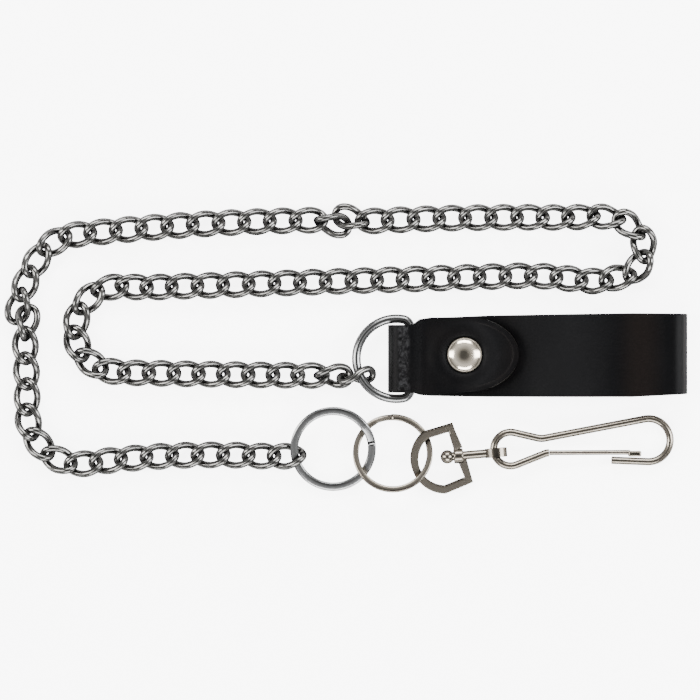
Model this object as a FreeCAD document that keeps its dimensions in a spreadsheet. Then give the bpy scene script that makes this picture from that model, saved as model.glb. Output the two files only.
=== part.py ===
import FreeCAD, Part
import math
import os
import Sketcher

V = FreeCAD.Vector

# Wallet chain with a leather belt loop, lying flat. Origin: centre of the footprint, z = 0 on the surface.

doc = FreeCAD.newDocument("wallet_chain")

DRIVING = {
    # curb chain
    "wire_dia": 2.45,
    "link_half_length": 5.9,
    "link_half_width": 3.6,
    # belt loop leather
    "leather": 2.4,
    "strap_top": 11.6,
    "strap_bottom": -17.2,
    "strap_right": 119.6,
    "fold_left": 14.9,
    "loop_height": 5.6,
    "tab_end": 62.0,
    "neck_top": 8.0,
    "neck_bottom": -15.7,
    "layer_gap": 0.4,
    "bar_room": 4.6,
    # snap
    "snap_x": 41.6,
    "snap_y": -2.5,
    "cap_dia": 12.0,
    "cap_rise": 2.3,
    "stud_dia": 3.5,
    # D-ring
    "dring_wire": 3.1,
    "dring_radius": 14.0,
    "dring_bar_x": 22.7,
    "dring_y": -3.85,
    # key rings
    "big_ring_dia": 30.0,
    "big_ring_width": 2.8,
    "big_coil": 0.95,
    "small_ring_dia": 28.0,
    "small_ring_width": 2.1,
    "small_coil": 0.85,
    # swivel and hook
    "eye_bar": 22.2,
    "post_dia": 3.0,
    "hook_wire": 2.6,
    "gate_wire": 1.7,
}

sheet = doc.addObject("Spreadsheet::Sheet", "Dims")
for row, (alias, number) in enumerate(DRIVING.items(), start=1):
    sheet.set("A%d" % row, alias)
    sheet.set("B%d" % row, str(number))
    sheet.setAlias("B%d" % row, alias)
doc.recompute()


class Size:
    """A length worked out from the sheet: its value now, and the expression that keeps it bound."""

    def __init__(self, value, text):
        self.value = value
        self.text = text

    def __add__(self, other):
        other = as_size(other)
        return Size(self.value + other.value, "(%s + %s)" % (self.text, other.text))

    def __sub__(self, other):
        other = as_size(other)
        return Size(self.value - other.value, "(%s - %s)" % (self.text, other.text))

    def __mul__(self, factor):
        return Size(self.value * factor, "(%s * %s)" % (self.text, repr(factor)))

    def __truediv__(self, factor):
        return Size(self.value / factor, "(%s / %s)" % (self.text, repr(factor)))


def as_size(thing):
    return thing if isinstance(thing, Size) else Size(float(thing), repr(float(thing)))


def dim(alias):
    return Size(float(sheet.get(alias)), "Dims." + alias)


def bind(thing, **sizes):
    for prop, size in sizes.items():
        thing.setExpression(prop, as_size(size).text)


def place(thing, position, axis=V(0, 0, 1), degrees=0.0):
    """Sets the placement, with the position bound to the sheet."""
    sizes = [as_size(p) for p in position]
    base = V(*[size.value for size in sizes])
    thing.Placement = FreeCAD.Placement(base, FreeCAD.Rotation(axis, degrees))
    for letter, size in zip("xyz", sizes):
        thing.setExpression("Placement.Base." + letter, size.text)


PLANES = {
    "XY": FreeCAD.Rotation(),
    "XZ": FreeCAD.Rotation(V(1, 0, 0), 90),
}


def sketch_of(name, plane, corners):
    """A closed outline through corners, each held by two bound distances. A corner is (u, v) or
    (u, v, u_mid, v_mid), which bends the edge that leads to the next corner through the middle point."""
    sketch = doc.addObject("Sketcher::SketchObject", name)
    sketch.Placement = FreeCAD.Placement(V(), PLANES[plane])
    spots = [[as_size(c) for c in corner] for corner in corners]
    for here, there in zip(spots, spots[1:] + spots[:1]):
        a = V(here[0].value, here[1].value, 0)
        b = V(there[0].value, there[1].value, 0)
        if len(here) == 4:
            middle = V(here[2].value, here[3].value, 0)
            sketch.addGeometry(Part.Arc(a, middle, b), False)
        else:
            sketch.addGeometry(Part.LineSegment(a, b), False)
    for index, here in enumerate(spots):
        if len(here) == 4:
            continue
        for kind, size in (("DistanceX", here[0]), ("DistanceY", here[1])):
            number = sketch.addConstraint(Sketcher.Constraint(kind, -1, 1, index, 1, size.value))
            sketch.setExpression("Constraints[%d]" % number, size.text)
    return sketch


def extruded(name, sketch, direction, length, start=0.0):
    """A solid extrusion of a sketch, from start to length along direction."""
    body = doc.addObject("Part::Extrusion", name)
    body.Base = sketch
    body.DirMode = "Custom"
    body.Dir = direction
    body.Solid = True
    bind(body, LengthFwd=length, LengthRev=as_size(start) * -1.0)
    return body


def turned(name, sketch, axis=V(0, 0, 1)):
    """A solid turned all the way round an axis through the origin."""
    body = doc.addObject("Part::Revolution", name)
    body.Source = sketch
    body.Axis = axis
    body.Base = V()
    body.Angle = 360.0
    body.Solid = True
    return body


def combined(kind, name, base, tool):
    result = doc.addObject(kind, name)
    result.Base = base
    result.Tool = tool
    return result


nodes = []


def node(thing, name):
    thing.Label = name
    nodes.append(thing)
    return thing


def cylinder(name, radius, height, position, axis=V(0, 0, 1), degrees=0.0):
    body = doc.addObject("Part::Cylinder", name)
    bind(body, Radius=radius, Height=height)
    place(body, position, axis, degrees)
    return body


# ---------------------------------------------------------------- curb links


def tangent_bend(start, heading, end):
    """The round bar that leaves start along heading and bends in one arc to end, and its length."""
    chord = end - start
    side = chord - heading * chord.dot(heading)
    radius = chord.dot(chord) / (2.0 * side.Length)
    side.normalize()
    centre = start + side * radius
    sweep = 2.0 * heading.getAngle(chord)
    section = Part.Face(Part.Wire(Part.makeCircle(dim("wire_dia").value / 2.0, start, heading)))
    return section.revolve(centre, heading.cross(side), math.degrees(sweep)), radius * sweep


def biarc(start, heading, end, arriving):
    """Two bends that leave start along heading and reach end along arriving."""
    chord = end - start
    both = heading + arriving
    a = 2.0 * (1.0 - heading.dot(arriving))
    b = 2.0 * chord.dot(both)
    c = -chord.dot(chord)
    reach = (-b + math.sqrt(b * b - 4.0 * a * c)) / (2.0 * a)
    joint = (start + heading * reach + end - arriving * reach) * 0.5
    return [tangent_bend(start, heading, joint), tangent_bend(end, arriving * -1.0, joint)]


END_TILT = math.radians(50.0)
SIDE_SLOPE = 0.7


def curb_link():
    """One twisted oval link about the origin, long along X, its two ends tilted opposite ways."""
    tip = V(dim("link_half_length").value, 0, 0)
    flank = V(0, dim("link_half_width").value, 0)
    tip_heading = V(0, math.cos(END_TILT), -math.sin(END_TILT))
    flank_heading = V(-1, 0, SIDE_SLOPE)
    flank_heading.normalize()
    quarter = biarc(tip, tip_heading, flank, flank_heading)
    bends = []
    for degrees, axis in ((0, V(1, 0, 0)), (180, V(1, 0, 0)), (180, V(0, 1, 0)), (180, V(0, 0, 1))):
        for bend, _ in quarter:
            copy = bend.copy()
            copy.rotate(V(), axis, degrees)
            bends.append(copy)
    solid = bends[0].fuse(bends[1:]).Solids[0]
    expected = math.pi * dim("wire_dia").value ** 2 * sum(length for _, length in quarter)
    assert abs(solid.Volume - expected) < 0.01 * expected, (solid.Volume, expected)
    return solid


LINK = curb_link()


# ---------------------------------------------------------------- belt loop leather

leather = dim("leather")
gap = dim("layer_gap")
tab_floor = leather + dim("bar_room")
tab_roof = tab_floor + leather
fold_x = dim("fold_left") + leather + dim("bar_room") / 2.0
fold_z = leather + dim("bar_room") / 2.0
loop_roof = leather + dim("loop_height") + leather
loop_z = loop_roof / 2.0
turn_x = dim("strap_right") - loop_z
inner_floor = leather + gap
inner_roof = inner_floor + leather

FREE_END_X = 33.0
RISE_START_X = 52.0
RISE_END_X = 74.0
TAB_RISE = 2.6
TAB_RISE_X = 51.0
SEAM = 0.25
STRAP_REACH = 40.0


def leather_section(name, corners):
    return sketch_of(name + "_section", "XZ", corners)


strap_section = leather_section("strap", [
    (FREE_END_X, inner_floor),
    (RISE_START_X, inner_floor),
    (RISE_END_X, loop_roof - leather),
    (turn_x, loop_roof - leather, turn_x + loop_z - leather, loop_z),
    (turn_x, leather),
    (fold_x, leather, fold_x - dim("bar_room") / 2.0, fold_z),
    (fold_x, tab_floor),
    (fold_x, tab_roof, dim("fold_left"), fold_z),
    (fold_x, 0.0),
    (turn_x, 0.0, dim("strap_right"), loop_z),
    (turn_x, loop_roof),
    (RISE_END_X, loop_roof),
    (RISE_START_X, inner_roof),
    (FREE_END_X, inner_roof),
])
tab_section = leather_section("tab", [
    (fold_x + SEAM, tab_floor),
    (TAB_RISE_X, tab_floor),
    (dim("tab_end"), tab_floor + TAB_RISE),
    (dim("tab_end"), tab_roof + TAB_RISE),
    (TAB_RISE_X, tab_roof),
    (fold_x + SEAM, tab_roof),
])

NECK_END_X = 24.6
SHOULDER_X = 26.0
strap_outline = sketch_of("strap_outline", "XY", [
    (0.0, dim("neck_bottom")),
    (NECK_END_X, dim("neck_bottom")),
    (SHOULDER_X, dim("strap_bottom") + 0.6),
    (50.0, dim("strap_bottom")),
    (100.0, dim("strap_bottom")),
    (125.0, dim("strap_bottom") + 1.4),
    (125.0, dim("strap_top") + 0.3),
    (100.0, dim("strap_top") + 0.6),
    (45.0, dim("strap_top") - 0.4),
    (SHOULDER_X, dim("strap_top") - 1.6),
    (NECK_END_X, dim("neck_top")),
    (0.0, dim("neck_top")),
])
TAB_ARC_X = 42.5
tab_tip = dim("tab_end") - 1.4
tab_middle = (dim("strap_top") + dim("strap_bottom")) / 2.0 + 0.5
tab_outline = sketch_of("tab_outline", "XY", [
    (0.0, dim("neck_bottom")),
    (NECK_END_X, dim("neck_bottom")),
    (SHOULDER_X, dim("strap_bottom") + 0.7),
    (TAB_ARC_X, dim("strap_bottom") + 1.9, 56.3, dim("strap_bottom") + 5.8),
    (tab_tip, tab_middle, 56.3, dim("strap_top") - 5.2),
    (TAB_ARC_X, dim("strap_top") - 1.0),
    (SHOULDER_X, dim("strap_top") - 1.6),
    (NECK_END_X, dim("neck_top")),
    (0.0, dim("neck_top")),
])

snap_at = (dim("snap_x"), dim("snap_y"))
HOLE_DIA = 2.8
SHANK_DIA = 5.0


def leather_layer(name, section, outline):
    """The bent strip seen from the side, kept where it lies inside its outline seen from above."""
    strip = extruded(name + "_strip", section, V(0, -1, 0), STRAP_REACH, start=-STRAP_REACH)
    bind(strip, LengthFwd=STRAP_REACH, LengthRev=STRAP_REACH)
    stamp = extruded(name + "_stamp", outline, V(0, 0, 1), STRAP_REACH)
    return combined_common(name + "_blank", strip, stamp)


def combined_common(name, base, tool):
    return combined("Part::Common", name, base, tool)


strap_blank = leather_layer("strap", strap_section, strap_outline)
hole_radius = as_size(HOLE_DIA / 2.0)
strap_hole = cylinder("strap_hole", hole_radius, leather + gap, snap_at + (inner_floor - gap / 2.0,))
node(combined("Part::Cut", "belt_strap", strap_blank, strap_hole), "belt_strap")

tab_blank = leather_layer("tab", tab_section, tab_outline)
tab_hole = cylinder("tab_hole", as_size(SHANK_DIA / 2.0), leather + gap * 2.0, snap_at + (tab_floor - gap,))
node(combined("Part::Cut", "snap_tab", tab_blank, tab_hole), "snap_tab")

# ---------------------------------------------------------------- press stud

SOCKET_DIA = 10.0
SOCKET_BORE = 4.2
FLANGE_DIA = 8.4
FLANGE = 0.5
HEAD_RISE = 1.2
POST_DIA = 2.4
BACK_DIA = 7.0
BACK = 0.25
SHANK_WALL = 0.6

cap_dome = doc.addObject("Part::Ellipsoid", "cap_dome")
bind(cap_dome, Radius1=dim("cap_rise"), Radius2=dim("cap_dia") / 2.0, Radius3=dim("cap_dia") / 2.0)
cap_dome.Angle1 = 0.0
place(cap_dome, snap_at + (tab_roof,))
cap_shank = cylinder("cap_shank", as_size(SHANK_DIA / 2.0), leather, snap_at + (tab_floor,))
cap_body = combined("Part::Fuse", "cap_body", cap_dome, cap_shank)
cap_bore = cylinder("cap_bore", as_size(SHANK_DIA / 2.0 - SHANK_WALL), leather, snap_at + (tab_floor,))
node(combined("Part::Cut", "snap_cap", cap_body, cap_bore), "snap_cap")

socket_floor = inner_roof + FLANGE + 0.15
socket_radius = as_size(SOCKET_DIA / 2.0)
socket_disc = cylinder("socket_disc", socket_radius, tab_floor - socket_floor, snap_at + (socket_floor,))
socket_bore = cylinder("socket_bore", as_size(SOCKET_BORE / 2.0), leather, snap_at + (socket_floor,))
node(combined("Part::Cut", "snap_socket", socket_disc, socket_bore), "snap_socket")

stud_flange = cylinder("stud_flange", as_size(FLANGE_DIA / 2.0), as_size(FLANGE), snap_at + (inner_roof,))
stud_head = cylinder("stud_head", dim("stud_dia") / 2.0, as_size(FLANGE + HEAD_RISE), snap_at + (inner_roof,))
stud_body = combined("Part::Fuse", "stud_body", stud_flange, stud_head)
stud_bore = cylinder("stud_bore", as_size(POST_DIA / 2.0), as_size(FLANGE), snap_at + (inner_roof,))
node(combined("Part::Cut", "snap_stud", stud_body, stud_bore), "snap_stud")

back_disc = cylinder("back_disc", as_size(BACK_DIA / 2.0), as_size(BACK), snap_at + (inner_floor - BACK,))
back_post = cylinder("back_post", as_size(POST_DIA / 2.0), leather + FLANGE, snap_at + (inner_floor,))
node(combined("Part::Fuse", "snap_post", back_disc, back_post), "snap_post")


# ---------------------------------------------------------------- round wire along lines and arcs


def wire_along(start, moves, radius):
    """A round bar from start through moves, each ("line", length) or ("arc", bend radius, degrees),
    which follow each other in the plane z = 0. Positive degrees turn left. Returns the solid."""
    at = V(start[0], start[1], 0)
    heading = math.radians(start[2])
    pieces = []
    for move in moves:
        ahead = V(math.cos(heading), math.sin(heading), 0)
        section = Part.Face(Part.Wire(Part.makeCircle(radius, at, ahead)))
        if move[0] == "line":
            pieces.append(section.extrude(ahead * move[1]))
            at = at + ahead * move[1]
            continue
        bend, degrees = move[1:]
        side = math.copysign(1.0, degrees)
        centre = at + V(-ahead.y, ahead.x, 0) * bend * side
        pieces.append(section.revolve(centre, V(0, 0, side), abs(degrees)))
        turned_by = FreeCAD.Rotation(V(0, 0, 1), degrees)
        at = centre + turned_by.multVec(at - centre)
        heading += math.radians(degrees)
    solid = pieces[0].fuse(pieces[1:]).Solids[0] if len(pieces) > 1 else pieces[0]
    return solid, at, math.degrees(heading)


def feature(name, shape, position=V(), rotation=FreeCAD.Rotation()):
    thing = doc.addObject("Part::Feature", name)
    thing.Shape = shape
    thing.Placement = FreeCAD.Placement(position, rotation)
    return node(thing, name)


# ---------------------------------------------------------------- D-ring

CORNER = 3.0
bar_x = dim("dring_bar_x").value
dring_radius = dim("dring_radius").value
crown_centre_x = 17.85
corner_x = bar_x - CORNER
corner_y = math.sqrt((dring_radius - CORNER) ** 2 - (corner_x - crown_centre_x) ** 2)
corner_turn = math.degrees(math.atan2(corner_y, corner_x - crown_centre_x))
dring_shape, _, _ = wire_along(
    (bar_x, -corner_y, 90.0),
    [
        ("line", 2.0 * corner_y),
        ("arc", CORNER, corner_turn),
        ("arc", dring_radius, 360.0 - 2.0 * corner_turn),
        ("arc", CORNER, corner_turn),
    ],
    dim("dring_wire").value / 2.0,
)
DRING_Z = 4.75
feature("d_ring", dring_shape, V(0, dim("dring_y").value, DRING_Z))

# ---------------------------------------------------------------- split rings

CHAMFER = 0.35


def split_ring(name, outer_dia, width, coil, position, tilt):
    """Two flat coils of one wire, one on the other, with a groove between them all round."""
    outer = outer_dia / 2.0
    inner = outer - width
    cut = as_size(CHAMFER)
    section = sketch_of(name + "_section", "XZ", [
        (inner + cut, coil * -1.0),
        (outer - cut, coil * -1.0),
        (outer, coil * -1.0 + cut),
        (outer, cut * -1.0),
        (outer - cut, 0.0),
        (outer, cut),
        (outer, coil - cut),
        (outer - cut, coil),
        (inner + cut, coil),
        (inner, coil - cut),
        (inner, cut),
        (inner + cut, 0.0),
        (inner, cut * -1.0),
        (inner, coil * -1.0 + cut),
    ])
    ring = turned(name, section)
    place(ring, position, V(1, 0, 0), tilt)
    return node(ring, name)


BIG_RING_AT = (-4.3, -35.4, 4.2)
SMALL_RING_AT = (16.6, -36.9, 4.24)
BIG_TILT = 11.8
SMALL_TILT = -14.0
big_ring_sizes = (dim("big_ring_dia"), dim("big_ring_width"), dim("big_coil"))
split_ring("split_ring_large", *big_ring_sizes, BIG_RING_AT, BIG_TILT)
split_ring("split_ring_small", dim("small_ring_dia"), dim("small_ring_width"), dim("small_coil"),
           SMALL_RING_AT, SMALL_TILT)

# ---------------------------------------------------------------- swivel eye, post and hook

half_bar = dim("eye_bar") / 2.0
EYE_THICK = 2.2
EYE_AT = V(40.0, -37.0, 3.8)
EYE_YAW = 19.7
EYE_TILT = 11.0
eye_outer = sketch_of("eye_outer", "XY", [
    (1.1, half_bar * -1.0),
    (1.1, half_bar),
    (-9.5, half_bar + 0.6, -17.6, 0.0),
    (-9.5, half_bar * -1.0 - 0.6),
])
eye_inner = sketch_of("eye_inner", "XY", [
    (-1.1, half_bar * -1.0 + 2.4),
    (-1.1, half_bar - 2.4),
    (-8.6, half_bar - 2.0, -14.8, 0.0),
    (-8.6, half_bar * -1.0 + 2.0),
])
eye_plate = extruded("eye_plate", eye_outer, V(0, 0, 1), as_size(EYE_THICK / 2.0), start=-EYE_THICK / 2.0)
eye_window = extruded("eye_window", eye_inner, V(0, 0, 1), as_size(EYE_THICK), start=-EYE_THICK)
eye_turn = FreeCAD.Rotation(V(0, 0, 1), EYE_YAW).multiply(FreeCAD.Rotation(V(1, 0, 0), EYE_TILT))

POST_YAW = 4.9
POST_AT = V(39.6, -37.85, 3.8)
BOSS_DIA = 5.4
BOSS_LENGTH = 3.4
SHANK_CLEAR = 0.2
post_turn = FreeCAD.Rotation(V(0, 0, 1), POST_YAW)
eye_frame = combined("Part::Cut", "eye_frame", eye_plate, eye_window)
eye_frame.Placement = FreeCAD.Placement(EYE_AT, eye_turn)
along_post = post_turn.multVec(V(1, 0, 0))
upright_to_post = FreeCAD.Rotation(V(0, 0, 1), along_post)


def rod_on_post(name, radius, begin, end):
    rod = doc.addObject("Part::Cylinder", name)
    bind(rod, Radius=radius, Height=end - begin)
    rod.Placement = FreeCAD.Placement(POST_AT + along_post * begin, upright_to_post)
    return rod


post_radius = dim("post_dia") / 2.0
boss = rod_on_post("eye_boss", as_size(BOSS_DIA / 2.0), -BOSS_LENGTH / 2.0, BOSS_LENGTH / 2.0)
bore = rod_on_post("eye_bore", post_radius + SHANK_CLEAR, -BOSS_LENGTH, BOSS_LENGTH)
eye_solid = combined("Part::Fuse", "eye_solid", eye_frame, boss)
node(combined("Part::Cut", "swivel_eye", eye_solid, bore), "swivel_eye")

HEAD_RADIUS = 2.4
HEAD_AT = -BOSS_LENGTH / 2.0 - 0.3
POST_EYE_X = 13.2
EYE_HOLE_HALF = 0.6
EYE_HOLE_RADIUS = 1.75
EYE_WALL = 1.5
EYE_WIDTH = 3.2
head_ball = doc.addObject("Part::Sphere", "head_ball")
bind(head_ball, Radius=HEAD_RADIUS)
head_ball.Placement = FreeCAD.Placement(POST_AT + along_post * (HEAD_AT - HEAD_RADIUS * 0.8), upright_to_post)
shank = rod_on_post("post_shank", post_radius, HEAD_AT - HEAD_RADIUS * 0.8, POST_EYE_X - 3.0)


def stadium(name, half_length, radius, thick):
    """A flat long-hole shape in the upright plane along the post, thick across it."""
    outline = sketch_of(name + "_outline", "XZ", [
        (-half_length, -radius),
        (half_length, -radius, half_length + radius, 0.0),
        (half_length, radius),
        (-half_length, radius, -half_length - radius, 0.0),
    ])
    slab = extruded(name, outline, V(0, -1, 0), as_size(thick / 2.0), start=-thick / 2.0)
    slab.Placement = FreeCAD.Placement(POST_AT + along_post * POST_EYE_X, post_turn)
    return slab


post_eye = stadium("post_eye", EYE_HOLE_HALF, EYE_HOLE_RADIUS + EYE_WALL, EYE_WIDTH)
post_hole = stadium("post_hole", EYE_HOLE_HALF, EYE_HOLE_RADIUS, EYE_WIDTH * 2.0)
post_bar = combined("Part::Fuse", "post_bar", head_ball, shank)
post_solid = combined("Part::Fuse", "post_solid", post_bar, post_eye)
node(combined("Part::Cut", "swivel_post", post_solid, post_hole), "swivel_post")

HOOK_Z = 3.7
HOOK_PITCH = 1.9
LOOP_X = 51.9
LOOP_Y = -35.6
hook_radius = dim("hook_wire").value / 2.0
gate_radius = dim("gate_wire").value / 2.0
NOSE_END = V(93.3, -39.4, 0)
NOSE_HEADING = -2.4
NOSE_LENGTH = 12.7
MOUTH_BEND = 7.55
SPINE_LENGTH = 35.7
LOOP_BEND = 5.9
hook_frame = FreeCAD.Placement(V(LOOP_X, LOOP_Y, HOOK_Z), FreeCAD.Rotation(V(0, 1, 0), HOOK_PITCH))
hook_shape, gate_root, gate_heading = wire_along(
    (NOSE_END.x - LOOP_X, NOSE_END.y - LOOP_Y, NOSE_HEADING),
    [
        ("line", NOSE_LENGTH),
        ("arc", MOUTH_BEND, 193.2),
        ("line", SPINE_LENGTH),
        ("arc", 6.0, -23.8),
        ("line", 8.4),
        ("arc", LOOP_BEND, 214.6),
        ("line", 10.6),
        ("arc", 4.0, -21.3),
    ],
    hook_radius,
)
feature("hook_body", hook_shape)
nodes[-1].Placement = hook_frame

GATE_GAP = 0.2
GATE_LENGTH = 28.2
CATCH = V(4.6, 2.0, 2.4)
ahead = V(math.cos(math.radians(gate_heading)), math.sin(math.radians(gate_heading)), 0)
gate_start = gate_root + ahead * GATE_GAP
gate_from = (gate_start.x, gate_start.y, gate_heading)
gate_shape, gate_tip, _ = wire_along(gate_from, [("line", GATE_LENGTH)], gate_radius)
catch_corner = gate_tip + V(-0.6, -CATCH.y + gate_radius * 0.6, -CATCH.z / 2.0)
catch_shape = Part.makeBox(CATCH.x, CATCH.y, CATCH.z, catch_corner)
catch_shape = catch_shape.makeFillet(0.6, catch_shape.Edges)
feature("hook_gate", gate_shape.fuse(catch_shape).Solids[0])
nodes[-1].Placement = hook_frame

# ---------------------------------------------------------------- chain

# A stretch is (links, step, turn, roll, pitch, aim, lift): how many links, how far apart their centres are,
# how far each turns from the one before, how it lies, how far off the middle heading its step points, and
# how high its centre is above where a flat link lies.
CHAIN = [
    # row back to the left
    (1, 8.3, 0, -8, 4, 0, 0.6),
    (1, 8.6, 0),
    (6, 8.7, -0.1),
    # inner left turn
    (1, 8.7, -9, -4, 0, 2, 0.15),
    (1, 7.75, -26, -2, 1, 1, 0.3),
    (1, 8.25, -35, 5, 1, -1, 0.6),
    (1, 8.1, -31, 8, 5, -1, 0.55),
    (1, 8.6, -31, 9, 3, -1, 0.3),
    (1, 8.5, -34, 14, 1, -2, 0.5),
    (1, 8.5, -18, 10, -2, -2, 0.6),
    (1, 8.7, 8, 5, 4, 1, 0.3),
    # middle row
    (14, 8.99, 0, 0, 0, -1),
    # right turn
    (1, 8.95, -6, 4, 2, -1, 0.15),
    (1, 8.9, -4, -1, 0, 0, 0.1),
    (1, 8.85, 7, -7, -11, -2, 0.9),
    (1, 8.3, 14, -11, 7, 2, 1.05),
    (1, 8.2, 40, -4, -15, -7, 1),
    (1, 8.05, 43, 7, -10, 2, 1.8),
    (1, 8.2, 44, 23, -4, 8, 2),
    (1, 8.65, 31, 23, 3, 4, 1.95),
    (1, 8.9, 11, 18, 7, 2, 1.25),
    (1, 8.9, -2, 11, 2, -1, 0.5),
    (1, 8.9, -2, 7, 3, 0, 0.25),
    # top row
    (6, 9.07, 0.5, 0, 0, 1),
    # first kink
    (1, 8.4, -21, 27, 13, 2, 0.4),
    (1, 6.55, 4, -33, -16, 36, 0.55),
    (1, 8.75, 17, -7, 1, -2, 0.4),
    # top row, on to the left
    (9, 9.01, 0.6, 0, 0, -1),
    # outer left corner
    (1, 8.55, 24, -4, -7, -1, 0.3),
    (1, 8.75, 27, 2, 0, 2, 0.2),
    (1, 9.05, 11, 0, 1, 0, 0.05),
    # second kink
    (1, 8.25, 6, 20, 9, 1, 0.25),
    (1, 6.4, 6, -36, -21, 38, 0.7),
    (1, 8.05, 12, -3, 1, -1, 0.35),
    # left side and lower corner
    (1, 9.0, 2, -1, 1, -2, 0.1),
    (1, 9.05, -5, -2, 0, -1, 0.15),
    (1, 8.85, 12, -9, -8, -3, 0.7),
    (1, 8.55, 28, -3, 3, 0, 0.5),
    (1, 8.8, 26, -2, -5, -2, 0.3),
    (1, 8.75, 27, 1, 1, 1, 0.25),
    (1, 8.75, 6, -1, 1, 1, 0.15),
    # lower row, to the split ring
    (7, 8.95, -1.5, 0, 0, -3),
]
FIRST_LINK = V(-4.1, -9.8, 0)
FIRST_YAW = 179.4
FIRST_PITCH = 1.8
FIRST_ROLL = -36.5
FIRST_LIFT = 1.35
LAST_AT = V(-20.57, -37.97, 3.38)
LAST_YAW = 2.6
LAST_PITCH = -7.1
LAST_ROLL = -12.4
SINGLE_LINKS = {0, 9, 10, 11, 12, 13, 14, 35, 36, 37, 38, 79}
KINK_STARTS = {47, 62}


def lie(position, yaw, pitch, roll):
    """Where a link lies: rolled about its length, then pitched, then turned to its heading."""
    turn = FreeCAD.Rotation(V(0, 0, 1), yaw)
    turn = turn.multiply(FreeCAD.Rotation(V(0, 1, 0), pitch))
    turn = turn.multiply(FreeCAD.Rotation(V(1, 0, 0), roll))
    return FreeCAD.Placement(position, turn)


def chain_places():
    """The placements of all the links, walked from the D-ring end to the split ring."""
    flat_height = 0.07 - LINK.optimalBoundingBox(False).ZMin
    at = FIRST_LINK
    yaw = FIRST_YAW
    places = [lie(at + V(0, 0, flat_height + FIRST_LIFT), yaw, FIRST_PITCH, FIRST_ROLL)]
    for stretch in CHAIN:
        count, step, turn, roll, pitch, aim, lift = stretch + (0,) * (7 - len(stretch))
        for _ in range(count):
            heading = math.radians(yaw + turn / 2.0 + aim)
            at = at + V(math.cos(heading), math.sin(heading), 0) * step
            yaw += turn
            places.append(lie(at + V(0, 0, flat_height + lift), yaw, pitch, roll))
    places[-1] = lie(LAST_AT, LAST_YAW, LAST_PITCH, LAST_ROLL)
    return places


def link_groups(count):
    """Which links share a node: pairs, except where the chain turns sharply or is kinked."""
    groups = []
    index = 0
    while index < count:
        size = 1 if index in SINGLE_LINKS else 3 if index in KINK_STARTS else 2
        groups.append(range(index, min(index + size, count)))
        index += size
    return groups


link_places = chain_places()
groups = link_groups(len(link_places))
for number, group in enumerate(groups, start=1):
    links = []
    for index in group:
        link = LINK.copy()
        link.Placement = link_places[index]
        links.append(link)
    feature("chain_%02d" % number, Part.makeCompound(links))

CONNECTOR = lie(V(3.83, -10.09, 4.7), 10.3, 6.6, 80.0)
feature("connector_link", LINK.copy())
nodes[-1].Placement = CONNECTOR


# ---------------------------------------------------------------- checks and files

doc.recompute()
for thing in doc.Objects:
    if "Invalid" in thing.State or "Error" in thing.State:
        raise RuntimeError("%s failed: %s" % (thing.Label, thing.State))
os.makedirs("parts", exist_ok=True)
for thing in nodes:
    shape = thing.Shape
    if shape.isNull() or not shape.isValid() or not shape.Solids:
        raise RuntimeError("%s has no valid solid" % thing.Label)
    shape.exportStep("parts/%s.step" % thing.Label)
print(len(nodes), "nodes written")
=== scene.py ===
import math
import bmesh
import bpy
from mathutils import Matrix, Vector


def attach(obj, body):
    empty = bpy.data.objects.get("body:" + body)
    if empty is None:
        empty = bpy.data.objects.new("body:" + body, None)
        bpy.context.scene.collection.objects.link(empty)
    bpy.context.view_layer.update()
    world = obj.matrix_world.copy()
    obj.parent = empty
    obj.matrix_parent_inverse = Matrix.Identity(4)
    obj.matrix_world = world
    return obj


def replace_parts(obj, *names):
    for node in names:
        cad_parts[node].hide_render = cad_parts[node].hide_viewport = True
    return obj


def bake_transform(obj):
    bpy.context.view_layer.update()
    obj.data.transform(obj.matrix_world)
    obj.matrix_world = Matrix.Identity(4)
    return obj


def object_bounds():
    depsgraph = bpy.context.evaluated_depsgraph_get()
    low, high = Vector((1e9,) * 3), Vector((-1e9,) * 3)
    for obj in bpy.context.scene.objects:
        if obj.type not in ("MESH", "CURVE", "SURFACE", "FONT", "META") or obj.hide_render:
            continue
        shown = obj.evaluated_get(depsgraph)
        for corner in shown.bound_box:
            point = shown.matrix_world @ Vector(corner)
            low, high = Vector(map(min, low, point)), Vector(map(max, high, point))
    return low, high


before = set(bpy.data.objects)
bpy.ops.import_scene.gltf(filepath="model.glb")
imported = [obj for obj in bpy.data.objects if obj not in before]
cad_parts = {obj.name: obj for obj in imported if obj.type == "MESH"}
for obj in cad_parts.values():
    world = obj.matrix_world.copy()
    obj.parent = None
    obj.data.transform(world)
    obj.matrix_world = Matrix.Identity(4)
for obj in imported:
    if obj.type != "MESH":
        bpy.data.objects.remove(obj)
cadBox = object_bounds()
mm = 0.001
print("frame loaded:", len(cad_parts), "nodes")


class Signal:
    # one output of a node; sums, products and powers of signals add Math nodes
    def __init__(self, paint, socket):
        self.paint = paint
        self.socket = socket

    def maths(self, operation, first, second):
        return self.paint.node("Math", {"operation": operation}, {0: first, 1: second})

    def __add__(self, other):
        return self.maths("ADD", self, other)

    def __radd__(self, other):
        return self.maths("ADD", other, self)

    def __sub__(self, other):
        return self.maths("SUBTRACT", self, other)

    def __rsub__(self, other):
        return self.maths("SUBTRACT", other, self)

    def __mul__(self, other):
        return self.maths("MULTIPLY", self, other)

    def __rmul__(self, other):
        return self.maths("MULTIPLY", other, self)

    def __truediv__(self, other):
        return self.maths("DIVIDE", self, other)

    def __pow__(self, other):
        return self.maths("POWER", self, other)

    def __abs__(self):
        return self.maths("ABSOLUTE", self, 0.0)


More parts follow.
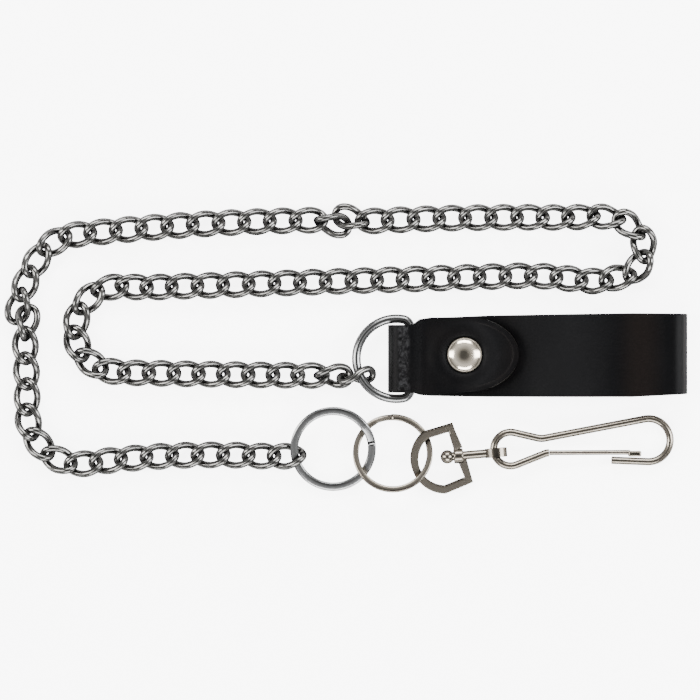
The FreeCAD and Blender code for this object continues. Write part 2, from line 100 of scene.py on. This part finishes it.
class Paint:
    # a material and its node tree
    def __init__(self, name):
        self.material = bpy.data.materials.new(name)
        self.material.use_nodes = True
        self.tree = self.material.node_tree
        self.tree.nodes.clear()

    def node(self, kind, settings=None, inputs=None, output=0):
        made = self.tree.nodes.new("ShaderNode" + kind)
        for key, value in (settings or {}).items():
            if key == "stops":
                self.setStops(made.color_ramp, value)
            else:
                setattr(made, key, value)
        for key, value in (inputs or {}).items():
            if isinstance(value, Signal):
                self.tree.links.new(value.socket, made.inputs[key])
            else:
                made.inputs[key].default_value = value
        return Signal(self, made.outputs[output]) if made.outputs else made

    def setStops(self, ramp, stops):
        while len(ramp.elements) < len(stops):
            ramp.elements.new(0.5)
        for element, (position, shade) in zip(ramp.elements, stops):
            element.position = position
            element.color = (shade, shade, shade, 1.0)

    def place(self):
        return self.node("TexCoord", output="Object")

    def stretched(self, scale, turn=(0, 0, 0)):
        return self.node("Mapping", {}, {"Vector": self.place(), "Scale": scale, "Rotation": turn})

    def noise(self, scale, detail=2.0, rough=0.5, vector=None, bend=0.0):
        sockets = {"Scale": scale, "Detail": detail, "Roughness": rough, "Distortion": bend}
        sockets["Vector"] = vector or self.place()
        return self.node("TexNoise", {}, sockets)

    def axis(self, letter):
        return self.node("SeparateXYZ", {}, {0: self.place()}, letter)

    def facing(self):
        # 1 on a surface that faces up, 0 on one that faces sideways, -1 on one that faces down
        return self.node("SeparateXYZ", {}, {0: self.node("TexCoord", output="Normal")}, "Z")

    def step(self, value, low, high):
        # 0 below low, 1 above high, smooth between
        settings = {"interpolation_type": "SMOOTHSTEP"}
        return self.node("MapRange", settings, {"Value": value, "From Min": low, "From Max": high})

    def band(self, value, start, end, soft):
        return self.step(value, start - soft, start + soft) * (1.0 - self.step(value, end - soft, end + soft))

    def tint(self, amount, dark, light):
        sockets = {"Factor": amount}
        for index, colour in ((6, dark), (7, light)):
            sockets[index] = colour if isinstance(colour, Signal) else (*colour, 1.0)
        return self.node("Mix", {"data_type": "RGBA"}, sockets, 2)

    def bump(self, height, distance, strength=1.0, under=None):
        sockets = {"Height": height, "Distance": distance, "Strength": strength}
        if under:
            sockets["Normal"] = under
        return self.node("Bump", {}, sockets)

    def finish(self, sockets):
        shader = self.node("BsdfPrincipled", {}, sockets)
        self.node("OutputMaterial", {}, {"Surface": shader})
        return self.material


# per finish: lighter and darker polished colours, the colour of the painted shade down the sides, the
# roughness, and how strong that painted shade is
nickelLook = {
    "chain": {"light": (0.17, 0.167, 0.16), "dark": (0.05, 0.05, 0.05), "sideShadeColour": (0.006, 0.006, 0.006),
              "rough": 0.16, "sideShadeAmount": 1.0},
    "ring": {"light": (0.25, 0.252, 0.252), "dark": (0.12, 0.12, 0.122), "sideShadeColour": (0.007, 0.007, 0.007),
             "rough": 0.17, "sideShadeAmount": 1.0},
    "warm": {"light": (0.24, 0.215, 0.18), "dark": (0.11, 0.096, 0.078), "sideShadeColour": (0.008, 0.0065, 0.005),
             "rough": 0.18, "sideShadeAmount": 1.0},
    "stud": {"light": (0.82, 0.74, 0.61), "dark": (0.54, 0.47, 0.38), "sideShadeColour": (0.05, 0.045, 0.04),
             "rough": 0.10, "sideShadeAmount": 0.8},
}


def nickel(name, look):
    # plated wire: dull smears, small handling marks, and painted shade, darker and less metallic down the
    # sides that face sideways
    paint = Paint(name)
    smear = paint.step(paint.noise(190.0, 3.0), 0.35, 0.62)
    marks = paint.step(paint.noise(1400.0, 4.0, 0.65), 0.55, 0.75)
    # painted shade: surfaces that face sideways are darkened towards the side shade colour and made less
    # metallic
    side = (1.0 - paint.step(abs(paint.facing()), 0.42, 0.88)) * look["sideShadeAmount"]
    polishAndPaintedSheen = paint.tint(smear * 0.4 + marks * 0.15, look["light"], look["dark"])
    colour = paint.tint(side, polishAndPaintedSheen, look["sideShadeColour"])
    ripple = paint.noise(520.0, 2.0) * 0.8 + marks * 0.12
    return paint.finish({
        "Base Color": colour,
        "Metallic": 1.0 - side * 0.97,
        "Roughness": look["rough"] + smear * 0.07 + marks * 0.06 + side * 0.25,
        "Specular IOR Level": 0.0,
        "Specular Tint": (0.2, 0.2, 0.2, 1.0),
        "Normal": paint.bump(ripple, 0.00005, 0.5),
    })


chainNickel = nickel("chainNickel", nickelLook["chain"])
ringNickel = nickel("ringNickel", nickelLook["ring"])
warmNickel = nickel("warmNickel", nickelLook["warm"])
studNickel = nickel("studNickel", nickelLook["stud"])

strapSizes = {
    "thick": 2.4,
    "edgeRound": 0.45,
    "cells": (230, 30),
    "wave": 0.22,
    # X, lower side, upper side of the strap, in mm
    "sides": [(0, -15.7, 8.0), (23.8, -15.7, 8.0), (25.0, -16.2, 8.9), (26.2, -16.6, 9.9), (30, -16.9, 10.4),
              (50, -17.2, 11.3), (100, -17.2, 12.1), (125, -15.9, 11.9)],
    "runs": [
        ("line", (33.0, 4.0), (46.0, 4.0)),
        ("rise", (46.0, 4.0), (78.0, 9.2)),
        ("line", (78.0, 9.2), (114.4, 9.2)),
        ("arc", (114.4, 5.2), 4.0, 90.0, -90.0),
        ("line", (114.4, 1.2), (19.6, 1.2)),
        ("arc", (19.6, 4.7), 3.5, -90.0, -122.0),
    ],
}
tabSizes = {
    "thick": 2.4,
    "edgeRound": 0.45,
    "cells": (96, 44),
    "sides": [(0, -15.7, 8.0), (23.2, -15.7, 8.0), (24.6, -16.0, 8.9), (26.0, -16.5, 10.0), (30, -16.5, 10.6),
              (42.5, -15.3, 10.7)],
    "tipFrom": 42.5,
    "tipReach": 17.95,
    "tipHalf": 13.0,
    "middle": -2.3,
    "runs": [
        ("arc", (19.6, 4.7), 3.5, -120.0, -270.0),
        ("line", (19.6, 8.2), (46.0, 8.2)),
        ("rise", (46.0, 8.2), (60.4, 10.2)),
    ],
    "snap": (41.6, -2.5),
    "sink": 0.6,
    "swell": 0.55,
}

# colours, then the places on the leather where they lie: X from and to, in m, and how soft the ends are
leatherLook = {
    "black": (0.0013, 0.0013, 0.0016),
    "brown": (0.0055, 0.0038, 0.0031),
    "worn": (0.019, 0.019, 0.020),
    "paintedSheen": (0.0062, 0.0062, 0.0066),
    # the colour of the painted sheen
    "edge": (0.006, 0.005, 0.0045),
    "fibre": (0.016, 0.013, 0.011),
    "grain": 1500.0,
    "specular": 0.07,
    # where the painted brownish sheen band lies on the strap
    "paintedBrownSheenAt": (0.0975, 0.1085, 0.0045),
    # where the lighter painted sheen band lies on the strap
    "paintedSheenAt": (0.068, 0.088, 0.011),
    "wornAt": (0.0184, 0.0222, 0.0008),
    "upperLayer": (0.006, 0.008),
    "overBar": (0.0062, 0.0078),
    # distance from the snap of the painted shine round it
    "roundSnap": (0.0088, 0.0122, 0.0028),
    # the pressed line, as a share of the way out to the tab's rounded edge
    "pressedLine": (0.865, 0.895, 0.012),
}


def smoothLeather(name, worn):
    # black hide: fine pores, soft wrinkles and scratches, a random brownish tone, a painted brownish sheen
    # band and a lighter painted sheen band on the strap, and a painted shine round the snap; the tab is also
    # worn grey over the ring's bar and has a line pressed along its edge
    paint = Paint(name)
    x = paint.axis("X")
    z = paint.axis("Z")
    grain = {"Vector": paint.place(), "Scale": leatherLook["grain"]}
    pores = paint.node("TexVoronoi", {"feature": "F1"}, grain)
    fine = paint.noise(900.0, 4.0, 0.6)
    cloudy = paint.noise(55.0, 3.0)
    across = paint.noise(60.0, 3.0, 0.6, paint.stretched((6.0, 0.7, 1.0)), 0.6)
    slanted = paint.noise(85.0, 3.0, 0.6, paint.stretched((0.8, 5.0, 1.0), (0.0, 0.0, 0.5)), 0.4)
    crease = 1.0 - paint.step(abs(across - 0.5), 0.0, 0.035)
    scratch = 1.0 - paint.step(abs(slanted - 0.5), 0.0, 0.012)
    side = 1.0 - paint.step(abs(paint.facing()), 0.25, 0.85)
    upper = paint.step(z, *leatherLook["upperLayer"])
    # painted brownish sheen: a band across the strap's upper layer, mixed below with a random brownish tone
    paintedBrownSheen = paint.band(x, *leatherLook["paintedBrownSheenAt"]) * upper
    brown = paintedBrownSheen * 0.7 + paint.step(cloudy, 0.5, 0.75) * 0.2
    colour = paint.tint(brown, leatherLook["black"], leatherLook["brown"])
    if worn:
        # painted sheen: a lighter ring round the snap, mostly to its right
        fromSnap = [paint.axis(letter) - tabSizes["snap"][k] * mm for k, letter in enumerate("XY")]
        reach = (fromSnap[0] * fromSnap[0] + fromSnap[1] * fromSnap[1]) ** 0.5
        polishAndPaintedSheen = paint.band(reach, *leatherLook["roundSnap"]) * paint.step(fromSnap[0], -0.004, 0.008)
    else:
        # painted sheen: a lighter band along the strap's upper layer
        polishAndPaintedSheen = paint.band(x, *leatherLook["paintedSheenAt"]) * upper
    colour = paint.tint(polishAndPaintedSheen * 0.8, colour, leatherLook["paintedSheen"])
    rough = 0.36 + cloudy * 0.14 + scratch * 0.04 + brown * 0.05 + side * 0.5
    height = pores * 0.3 + fine * 0.35 - crease * 0.22 - scratch * 0.18
    if worn:
        cracks = paint.noise(260.0, 5.0, 0.7, paint.stretched((1.0, 0.55, 1.0)), 0.8)
        broken = 1.0 - paint.step(abs(cracks - 0.5), 0.01, 0.06)
        rubbed = paint.band(x, *leatherLook["wornAt"]) * paint.step(z, *leatherLook["overBar"])
        rubbed = rubbed * paint.step(paint.noise(420.0, 4.0, 0.7), 0.42, 0.58)
        colour = paint.tint(rubbed * (1.0 - broken * 0.8), colour, leatherLook["worn"])
        rough = rough + rubbed * 0.25
        height = height - rubbed * broken * 2.0
        tipX = (x - tabSizes["tipFrom"] * mm) / (tabSizes["tipReach"] * mm)
        tipY = (paint.axis("Y") - tabSizes["middle"] * mm) / (tabSizes["tipHalf"] * mm)
        inside = (tipX * tipX + tipY * tipY) ** 0.5
        pressed = paint.band(inside, *leatherLook["pressedLine"]) * paint.step(tipX, 0.1, 0.35)
        height = height - pressed * 3.0
        colour = paint.tint(pressed * 0.5, colour, leatherLook["edge"])
    return paint.finish({
        "Base Color": colour,
        "Roughness": rough,
        "Specular IOR Level": leatherLook["specular"],
        "Normal": paint.bump(height, 0.00006, 0.5),
    })


def burnishedEdge(name):
    # the cut side of the leather, with its fibres
    paint = Paint(name)
    fibres = paint.noise(1200.0, 4.0, 0.7, paint.stretched((0.3, 0.3, 2.0)))
    colour = paint.tint(paint.step(fibres, 0.4, 0.7), leatherLook["edge"], leatherLook["fibre"])
    return paint.finish({
        "Base Color": colour,
        "Roughness": 0.42 + fibres * 0.2,
        "Specular IOR Level": leatherLook["specular"],
        "Normal": paint.bump(fibres, 0.00012, 0.6),
    })


strapLeather = smoothLeather("strapLeather", False)
tabLeather = smoothLeather("tabLeather", True)
leatherEdge = burnishedEdge("leatherEdge")

for name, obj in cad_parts.items():
    if name.startswith("chain_") or name == "connector_link":
        chosen = chainNickel
    elif name in ("d_ring", "split_ring_large"):
        chosen = ringNickel
    elif name.startswith("snap_"):
        chosen = studNickel
    else:
        chosen = warmNickel
    obj.data.materials.clear()
    obj.data.materials.append(chosen)
print("metal finishes on")


def addPiece(name, bm, materials, body):
    mesh = bpy.data.meshes.new(name)
    bm.to_mesh(mesh)
    bm.free()
    mesh.shade_smooth()
    for material in materials:
        mesh.materials.append(material)
    piece = bpy.data.objects.new(name, mesh)
    bpy.context.scene.collection.objects.link(piece)
    if body:
        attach(piece, body)
    return piece


def ease(t):
    t = min(1.0, max(0.0, t))
    return t * t * (3.0 - 2.0 * t)


def runLength(run):
    if run[0] == "arc":
        return run[2] * math.radians(abs(run[4] - run[3]))
    return math.dist(run[1], run[2])


def pointOn(run, t):
    # the place and the upward side of the leather at t of a run, seen from the side
    if run[0] == "arc":
        angle = math.radians(run[3] + (run[4] - run[3]) * t)
        return run[1][0] + run[2] * math.cos(angle), run[1][1] + run[2] * math.sin(angle)
    height = ease(t) if run[0] == "rise" else t
    return run[1][0] + (run[2][0] - run[1][0]) * t, run[1][1] + (run[2][1] - run[1][1]) * height


def alongRuns(runs, share):
    lengths = [runLength(run) for run in runs]
    left = share * sum(lengths)
    for run, length in zip(runs, lengths):
        if left <= length or run is runs[-1]:
            return pointOn(run, min(1.0, left / length))
        left -= length


def between(x, table):
    # straight interpolation in a list of (x, low, high)
    for here, there in zip(table, table[1:]):
        if x <= there[0]:
            t = max(0.0, (x - here[0]) / (there[0] - here[0]))
            return [here[k] + (there[k] - here[k]) * t for k in (1, 2)]
    return table[-1][1:]


def strapSides(x):
    return between(x, strapSizes["sides"])


def tabSides(x):
    low, high = between(x, tabSizes["sides"])
    t = (x - tabSizes["tipFrom"]) / tabSizes["tipReach"]
    if t <= 0.0:
        return low, high
    shrink = max(0.1, math.sqrt(max(0.0, 1.0 - t * t)))
    middle = tabSizes["middle"]
    return middle + (low - middle) * shrink, middle + (high - middle) * shrink


def strapWave(x, y, z):
    # the upper layer lies in slow waves, the lower one is flat on the surface
    if z < 3.9 or x > 112.0:
        return 0.0
    fade = ease((x - 46.0) / 20.0) * ease((112.0 - x) / 6.0)
    long = math.sin((x - 66.0) / 6.6 + y * 0.03)
    return strapSizes["wave"] * fade * (long + 0.5 * math.sin(x / 4.1 - y * 0.09))


def tabWave(x, y, z):
    # pressed in round the snap, swelling beyond it, and bent a little over the bar
    if z < 7.0:
        return 0.0
    r = math.dist((x, y), tabSizes["snap"])
    sunk = -tabSizes["sink"] * (1.0 - ease((r - 5.6) / 2.4))
    swell = tabSizes["swell"] * math.exp(-((r - 9.5) / 2.6) ** 2)
    bar = 0.3 * math.exp(-((x - 22.7) / 2.6) ** 2) - 0.25 * math.exp(-((x - 27.5) / 2.2) ** 2)
    curl = 0.18 * math.sin(y * 0.32 + x * 0.11) * ease((x - 48.0) / 8.0)
    return sunk + swell + bar + curl


def leatherPiece(name, sizes, sidesAt, waveAt, squeeze, body, material):
    bm = bmesh.new()
    bmesh.ops.create_grid(bm, x_segments=sizes["cells"][0], y_segments=sizes["cells"][1], size=0.5)
    for vert in bm.verts:
        share = 1.0 - (1.0 - (vert.co.x + 0.5)) ** squeeze
        x, z = alongRuns(sizes["runs"], share)
        low, high = sidesAt(x)
        y = (low + high) / 2.0 + vert.co.y * (high - low)
        vert.co = Vector((x, y, z + waveAt(x, y, z))) * mm
    bmesh.ops.recalc_face_normals(bm, faces=bm.faces)
    piece = addPiece(name, bm, [material, leatherEdge], body)
    wall = piece.modifiers.new("wall", "SOLIDIFY")
    wall.thickness = sizes["thick"] * mm
    wall.offset = 0.0
    wall.use_even_offset = True
    wall.use_quality_normals = True
    wall.material_offset_rim = 1
    rounded = piece.modifiers.new("roundedEdges", "BEVEL")
    rounded.width = sizes["edgeRound"] * mm
    rounded.segments = 3
    rounded.limit_method = "ANGLE"
    rounded.angle_limit = math.radians(50.0)
    return piece


strapPiece = leatherPiece("beltStrapLeather", strapSizes, strapSides, strapWave, 1.0, "strap", strapLeather)
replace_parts(strapPiece, "belt_strap")
tabPiece = leatherPiece("snapTabLeather", tabSizes, tabSides, tabWave, 1.35, None, tabLeather)
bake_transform(tabPiece)
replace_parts(tabPiece, "snap_tab")
print("leather made")


ringSizes = {
    "split_ring_large": {"name": "largeSplitRing", "at": (-4.3, -35.4, 4.2), "tilt": 11.8, "outer": 15.0,
                         "width": 2.8, "power": 2.6, "coil": 0.95, "gapAt": 35.0, "body": "ring_large",
                         "slot": "ring_nickel", "metal": ringNickel},
    "split_ring_small": {"name": "smallSplitRing", "at": (16.6, -36.9, 4.24), "tilt": -14.0, "outer": 14.0,
                         "width": 2.1, "power": 2.6, "coil": 0.85, "gapAt": 118.0, "body": "ring_small",
                         "slot": "warm_nickel", "metal": warmNickel},
}
jogDegrees = 26.0


def turned(axis, degrees):
    return Matrix.Rotation(math.radians(degrees), 4, axis)


def plumpness(vert, power):
    # how far a point of a round section moves out when the section is squarer than a circle
    return 1.0 / (abs(2.0 * vert.co.x) ** power + abs(2.0 * vert.co.y) ** power) ** (1.0 / power)


def splitRing(sizes):
    bm = bmesh.new()
    thick = sizes["coil"] - 0.02
    middle = sizes["outer"] - sizes["width"] / 2.0
    bmesh.ops.create_circle(bm, cap_ends=True, segments=20, radius=0.5)
    for vert in bm.verts:
        plump = plumpness(vert, sizes["power"])
        across = middle + vert.co.x * plump * sizes["width"]
        vert.co = Vector((across, 0.0, vert.co.y * plump * thick - sizes["coil"] / 2.0))
    profile = bm.verts[:] + bm.edges[:] + bm.faces[:]
    turns = ((360.0 - jogDegrees, 0.0, 84), (jogDegrees, sizes["coil"], 8), (360.0 - jogDegrees, 0.0, 84))
    for degrees, climb, steps in turns:
        made = bmesh.ops.spin(bm, geom=profile, cent=(0, 0, 0), axis=(0, 0, 1), dvec=(0, 0, climb / steps),
                              angle=math.radians(degrees), steps=steps, use_duplicate=False)
        profile = made["geom_last"]
    bmesh.ops.remove_doubles(bm, verts=bm.verts[:], dist=0.0005)
    bmesh.ops.recalc_face_normals(bm, faces=bm.faces[:])
    turn = turned("X", sizes["tilt"]) @ turned("Z", sizes["gapAt"])
    place = Matrix.Scale(mm, 4) @ Matrix.Translation(Vector(sizes["at"])) @ turn
    bmesh.ops.transform(bm, matrix=place, verts=bm.verts[:])
    return addPiece(sizes["name"], bm, [sizes["metal"]], sizes["body"])


for node, sizes in ringSizes.items():
    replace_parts(splitRing(sizes), node)
print("split rings made")

eyeSizes = {
    "at": (40.0, -37.0, 3.8),
    "yaw": 19.7,
    "tilt": 11.0,
    "thick": 2.2,
    "round": 0.9,
    # each run with its width at the start, its width at the end and its steps
    "runs": [
        (("line", (0.1, 1.9), (0.0, 9.95)), 3.2, 2.3, 8),
        (("line", (0.0, 9.95), (-9.05, 10.4)), 2.5, 2.6, 6),
        (("arc", (-5.06, 0.0), 11.14, 111.0, 249.0), 2.7, 2.7, 44),
        (("line", (-9.05, -10.4), (0.0, -9.95)), 2.6, 2.5, 6),
        (("line", (0.0, -9.95), (0.1, -1.9)), 2.3, 3.2, 8),
    ],
    "bossAt": (39.6, -37.85, 3.8),
    "bossYaw": 4.9,
    "bossLength": 3.3,
    "bossPower": 4.0,
    "bossWall": (1.7, 2.6),
}


def stationsOf(runs):
    # places along the middle of a bent bar, each with the bar's width there
    stations = []
    for run, begin, end, steps in runs:
        for k in range(steps):
            t = k / steps
            stations.append((Vector(pointOn(run, t)), begin + (end - begin) * t))
    run, begin, end, steps = runs[-1]
    stations.append((Vector(pointOn(run, 1.0)), end))
    return stations


def mitre(stations, k):
    # the sideways direction of the bar, made longer at a corner so that the bar keeps its width
    ahead = stations[min(k + 1, len(stations) - 1)][0] - stations[min(k, len(stations) - 2)][0]
    behind = stations[max(k, 1)][0] - stations[max(k - 1, 0)][0]
    sides = [Vector((-way.y, way.x)).normalized() for way in (ahead, behind)]
    middle = (sides[0] + sides[1]).normalized()
    return middle / middle.dot(sides[0])


def addBoss(bm, sizes):
    # a short bored sleeve for the post, spun from its rounded section
    near, far = sizes["bossWall"]
    section = bmesh.ops.create_circle(bm, cap_ends=False, segments=24, radius=0.5)["verts"]
    for vert in section:
        plump = plumpness(vert, sizes["bossPower"])
        out = (near + far) / 2.0 + vert.co.y * plump * (far - near)
        vert.co = Vector((vert.co.x * plump * sizes["bossLength"], 0.0, out))
    outline = section + list({edge for vert in section for edge in vert.link_edges})
    bmesh.ops.spin(bm, geom=outline, cent=(0, 0, 0), axis=(1, 0, 0), angle=math.tau, steps=40,
                   use_merge=True, use_duplicate=False)
    turn = turned("Z", sizes["bossYaw"])
    bmesh.ops.transform(bm, matrix=Matrix.Translation(Vector(sizes["bossAt"])) @ turn, verts=bm.verts[:])


def swivelEye(sizes):
    bm = bmesh.new()
    addBoss(bm, sizes)
    sleeve = set(bm.verts)
    stations = stationsOf(sizes["runs"])
    last = len(stations) - 1
    grid = bmesh.ops.create_grid(bm, x_segments=last, y_segments=4, size=0.5)["verts"]
    for vert in grid:
        k = round((vert.co.x + 0.5) * last)
        spot, width = stations[k]
        place = spot + mitre(stations, k) * vert.co.y * width
        vert.co = Vector((place.x, place.y, sizes["thick"] / 2.0))
    sheet = list({face for vert in grid for face in vert.link_faces})
    bmesh.ops.recalc_face_normals(bm, faces=sheet)
    bmesh.ops.solidify(bm, geom=sheet, thickness=sizes["thick"])
    bar = [vert for vert in bm.verts if vert not in sleeve]
    level = sum(vert.co.z for vert in bar) / len(bar)
    bmesh.ops.translate(bm, vec=(0, 0, -level), verts=bar)
    edges = {edge for vert in bar for edge in vert.link_edges}
    sharp = [edge for edge in edges if len(edge.link_faces) == 2 and edge.calc_face_angle() > 1.0]
    bmesh.ops.bevel(bm, geom=sharp, offset=sizes["round"], offset_type="OFFSET", segments=4, profile=0.5,
                    affect="EDGES", clamp_overlap=True)
    bar = [vert for vert in bm.verts if vert not in sleeve]
    turn = turned("Z", sizes["yaw"]) @ turned("X", sizes["tilt"])
    bmesh.ops.transform(bm, matrix=Matrix.Translation(Vector(sizes["at"])) @ turn, verts=bar)
    bmesh.ops.recalc_face_normals(bm, faces=bm.faces[:])
    bmesh.ops.scale(bm, vec=(mm, mm, mm), verts=bm.verts[:])
    return addPiece("swivelEye", bm, [warmNickel], "eye")


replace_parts(swivelEye(eyeSizes), "swivel_eye")
print("swivel eye made")


studio = {
    # the view is this wide at this height over the floor
    "viewWidth": 0.245,
    "viewHeight": 0.004,
    "distance": 1.6,
    "sensor": 36.0,
    "floorShade": (0.97, 0.97, 0.97),
    "floorGlow": 6.0,
    "shift": (0.001575, -0.000525),
    "floorSize": 1.5,
    "floorDrop": 0.0001,
    "worldPower": 1.05,
    # how bright the room is from the horizon up to straight overhead
    "sky": [(0.0, 0.03), (0.35, 0.08), (0.62, 0.5), (0.84, 0.95), (0.95, 0.4), (0.985, 0.08)],
}
# name, place, size, power, colour
lamps = [
    ("backPanel", (0.05, 0.85, 0.62), (0.9, 0.35), 15.0, (1.0, 1.0, 1.0)),
    ("leftPanel", (-0.85, 0.05, 0.62), (0.4, 0.8), 13.0, (1.0, 0.99, 0.97)),
    ("rightPanel", (0.85, 0.05, 0.62), (0.4, 0.8), 13.0, (0.97, 0.98, 1.0)),
    ("frontPanel", (0.05, -0.85, 0.62), (0.9, 0.35), 12.0, (1.0, 1.0, 1.0)),
]

floorPaint = Paint("paleFloor")
white = (*studio["floorShade"], 1.0)
floorPaint.finish({"Base Color": white, "Roughness": 0.9, "Specular IOR Level": 0.0,
                   "Emission Color": white, "Emission Strength": studio["floorGlow"]})
bm = bmesh.new()
bmesh.ops.create_grid(bm, x_segments=1, y_segments=1, size=studio["floorSize"])
bmesh.ops.translate(bm, vec=(0, 0, -studio["floorDrop"]), verts=bm.verts[:])
floorMesh = bpy.data.meshes.new("floor")
bm.to_mesh(floorMesh)
bm.free()
floorMesh.materials.append(floorPaint.material)
floor = bpy.data.objects.new("floor", floorMesh)
bpy.context.scene.collection.objects.link(floor)

world = bpy.data.worlds.new("studio")
world.use_nodes = True
background = world.node_tree.nodes["Background"]
background.inputs["Strength"].default_value = studio["worldPower"]
direction = world.node_tree.nodes.new("ShaderNodeTexCoord")
height = world.node_tree.nodes.new("ShaderNodeSeparateXYZ")
sky = world.node_tree.nodes.new("ShaderNodeValToRGB")
floorPaint.setStops(sky.color_ramp, studio["sky"])
world.node_tree.links.new(direction.outputs["Generated"], height.inputs[0])
world.node_tree.links.new(height.outputs["Z"], sky.inputs[0])
world.node_tree.links.new(sky.outputs["Color"], background.inputs["Color"])
bpy.context.scene.world = world

for name, place, size, power, colour in lamps:
    data = bpy.data.lights.new(name, "AREA")
    data.shape = "RECTANGLE"
    data.size, data.size_y = size
    data.energy = power
    data.color = colour
    lamp = bpy.data.objects.new(name, data)
    lamp.location = place
    lamp.rotation_euler = (-Vector(place)).to_track_quat("-Z", "Y").to_euler()
    bpy.context.scene.collection.objects.link(lamp)

centre = (Vector(cadBox[0]) + Vector(cadBox[1])) / 2.0
cameraData = bpy.data.cameras.new("camera")
cameraData.sensor_width = studio["sensor"]
cameraData.lens = studio["sensor"] * (studio["distance"] - studio["viewHeight"]) / studio["viewWidth"]
camera = bpy.data.objects.new("camera", cameraData)
camera.location = (centre.x + studio["shift"][0], centre.y + studio["shift"][1], studio["distance"])
bpy.context.scene.collection.objects.link(camera)
bpy.context.scene.camera = camera
print("studio ready")
